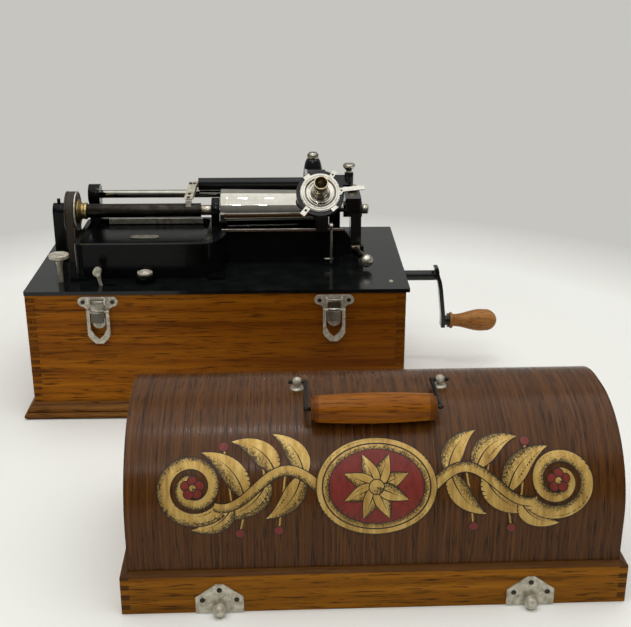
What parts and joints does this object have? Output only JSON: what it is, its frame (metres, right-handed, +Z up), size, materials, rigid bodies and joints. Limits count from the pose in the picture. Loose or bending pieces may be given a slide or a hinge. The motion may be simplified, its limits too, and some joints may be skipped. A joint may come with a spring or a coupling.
{
  "type": "cylinder phonograph",
  "caption": "Wind-up cylinder phonograph: oak case, black top works with mandrel, feed screw and reproducer, side crank, and its domed oak lid standing in front.",
  "frame": {"origin": "centre of the case's footprint on the floor", "axes": "+X to the crank side, +Y to the back of the case, +Z up; the lid stands on the floor at -Y"},
  "size_m": [0.5554, 0.604, 0.256],
  "materials": {
    "oak_case": "oiled oak, satin",
    "oak_lid": "dark stained oak, satin",
    "grip_wood": "turned hardwood, worn varnish",
    "black_japan": "gloss black enamel",
    "nickel": "aged nickel plate",
    "steel": "bright turned steel",
    "gunmetal": "dark oiled steel",
    "brass": "dull brass",
    "belt_leather": "waxed leather",
    "mica": "clear sheet"
  },
  "bodies": {
    "case": {"case_front": "oak_case", "case_back": "oak_case", "case_left": "oak_case", "case_right": "oak_case", "base_moulding": "oak_case", "bottom_board": "oak_case", "latch_plates": "nickel", "screws": "nickel", "crank_bush": "black_japan", "bed_plate": "black_japan", "start_bracket": "gunmetal", "body_casting": "black_japan", "end_bearing": "black_japan", "back_rod": "steel", "straight_edge": "steel", "scale_bar": "nickel", "name_plate": "brass", "drive_belt": "belt_leather", "motor_frame": "gunmetal"},
    "latch_lever_left": {"latch_lever_left": "nickel"},
    "latch_lever_right": {"latch_lever_right": "nickel"},
    "latch_loop_left": {"latch_loop_left": "nickel"},
    "latch_loop_right": {"latch_loop_right": "nickel"},
    "speed_screw": {"speed_screw": "nickel"},
    "start_lever": {"start_lever": "nickel"},
    "mandrel": {"main_shaft": "steel", "mandrel": "nickel", "feed_screw": "gunmetal", "shaft_collars": "nickel", "driven_pulley": "gunmetal", "pulley_hub": "brass"},
    "rod_bush": {"rod_bush": "brass"},
    "carriage": {"carriage": "black_japan", "carriage_cap": "nickel", "feed_nut_spring": "nickel", "reproducer_shell": "nickel", "reproducer_neck": "brass", "diaphragm": "mica"},
    "clamp_ring": {"clamp_ring": "nickel"},
    "floating_weight": {"floating_weight": "nickel"},
    "thumb_screw": {"thumb_screw": "nickel"},
    "lift_lever": {"lift_lever": "nickel"},
    "end_gate": {"end_gate": "black_japan", "gate_centre": "nickel"},
    "gate_lever": {"gate_lever": "nickel"},
    "crank": {"crank_shaft": "black_japan", "crank_arm": "black_japan"},
    "crank_grip": {"crank_grip": "grip_wood"},
    "winding_gear": {"winding_gear": "gunmetal"},
    "spring_barrel": {"spring_barrel": "gunmetal", "mainspring": "steel"},
    "drive_arbor": {"drive_arbor": "brass"},
    "governor": {"governor": "brass"},
    "lid": {"lid_dome": "oak_lid", "lid_ends": "oak_lid", "lid_skirt_long": "oak_lid", "lid_skirt_short": "oak_lid", "lid_fittings": "nickel"},
    "lid_handle": {"lid_bail": "gunmetal", "lid_grip": "grip_wood"}
  },
  "joints": [
    {"name": "mandrel_spin", "type": "hinge", "parent": "case", "child": "mandrel", "pos_m": [0, 0.008, 0.1975], "axis": [1, 0, 0], "continuous": true},
    {"name": "drive_spin", "type": "hinge", "parent": "case", "child": "drive_arbor", "pos_m": [-0.12, 0.008, 0.0884], "axis": [1, 0, 0], "continuous": true},
    {"name": "barrel_spin", "type": "hinge", "parent": "case", "child": "spring_barrel", "pos_m": [-0.03, 0.046, 0.064], "axis": [1, 0, 0], "continuous": true},
    {"name": "governor_spin", "type": "hinge", "parent": "case", "child": "governor", "pos_m": [-0.11, -0.022, 0.0884], "axis": [1, 0, 0], "continuous": true},
    {"name": "crank_turn", "type": "hinge", "parent": "case", "child": "crank", "pos_m": [0.201, 0.02, 0.1125], "axis": [1, 0, 0], "continuous": true},
    {"name": "grip_spin", "type": "hinge", "parent": "crank", "child": "crank_grip", "pos_m": [0.298, 0.02, 0.055], "axis": [1, 0, 0], "continuous": true},
    {"name": "winding_spin", "type": "hinge", "parent": "case", "child": "winding_gear", "pos_m": [0.012, 0.046, 0.064], "axis": [1, 0, 0], "continuous": true},
    {"name": "speed_turn", "type": "hinge", "parent": "case", "child": "speed_screw", "pos_m": [-0.168, -0.0828, 0.16], "axis": [0, 0, 1], "range_deg": [-180, 180]},
    {"name": "start_swing", "type": "hinge", "parent": "case", "child": "start_lever", "pos_m": [-0.118, -0.095, 0.1164], "axis": [0, 1, 0], "range_deg": [0, 22]},
    {"name": "carriage_slide", "type": "slide", "parent": "case", "child": "rod_bush", "axis": [1, 0, 0], "range_m": [-0.094, 0]},
    {"name": "carriage_tilt", "type": "hinge", "parent": "rod_bush", "child": "carriage", "pos_m": [0.106, 0.05, 0.206], "axis": [-1, 0, 0], "range_deg": [0, 8.1]},
    {"name": "lift_lever", "type": "hinge", "parent": "carriage", "child": "lift_lever", "pos_m": [0.1242, -0.037, 0.1905], "axis": [-1, 0, 0], "range_deg": [0, 90]},
    {"name": "clamp_turn", "type": "hinge", "parent": "carriage", "child": "clamp_ring", "pos_m": [0.1127, -0.01986, 0.2238], "axis": [0, 0.809, -0.5878], "range_deg": [0, 10]},
    {"name": "weight_swing", "type": "hinge", "parent": "carriage", "child": "floating_weight", "pos_m": [0.1127, -0.00548, 0.23152], "axis": [1, 0, 0], "range_deg": [-2, 3]},
    {"name": "thumb_turn", "type": "hinge", "parent": "carriage", "child": "thumb_screw", "pos_m": [0.145, -0.008, 0.24], "axis": [0, 0, 1], "range_deg": [-180, 180]},
    {"name": "gate_swing", "type": "hinge", "parent": "case", "child": "end_gate", "pos_m": [0.152, 0.038, 0.2], "axis": [0, 0, 1], "range_deg": [0, 95]},
    {"name": "gate_lever", "type": "hinge", "parent": "case", "child": "gate_lever", "pos_m": [0.152, -0.012, 0.156], "axis": [-1, 0, 0], "range_deg": [0, 45]},
    {"name": "latch_lever_left", "type": "hinge", "parent": "case", "child": "latch_lever_left", "pos_m": [-0.1245, -0.1192, 0.1334], "axis": [-1, 0, 0], "range_deg": [0, 75]},
    {"name": "latch_loop_left", "type": "hinge", "parent": "latch_lever_left", "child": "latch_loop_left", "pos_m": [-0.1245, -0.1192, 0.1229], "axis": [-1, 0, 0], "range_deg": [0, 100]},
    {"name": "latch_lever_right", "type": "hinge", "parent": "case", "child": "latch_lever_right", "pos_m": [0.1245, -0.1192, 0.1334], "axis": [-1, 0, 0], "range_deg": [0, 75]},
    {"name": "latch_loop_right", "type": "hinge", "parent": "latch_lever_right", "child": "latch_loop_right", "pos_m": [0.1245, -0.1192, 0.1229], "axis": [-1, 0, 0], "range_deg": [0, 100]},
    {"name": "lid_lift", "type": "slide", "parent": "case", "child": "lid", "axis": [0, 0, 1], "range_m": [0, 0.3]},
    {"name": "lid_handle", "type": "hinge", "parent": "lid", "child": "lid_handle", "pos_m": [0.1417, -0.3724, 0.1565], "axis": [-0.9999, -0.0157, 0], "range_deg": [0, 150]}
  ],
  "couplings": [
    {"joint": "drive_spin", "follows": "mandrel_spin", "ratio": 1},
    {"joint": "barrel_spin", "follows": "mandrel_spin", "ratio": -0.2},
    {"joint": "governor_spin", "follows": "mandrel_spin", "ratio": -4},
    {"joint": "winding_spin", "follows": "crank_turn", "ratio": -0.34146},
    {"joint": "carriage_tilt", "follows": "lift_lever", "ratio": 0.088889}
  ]
}
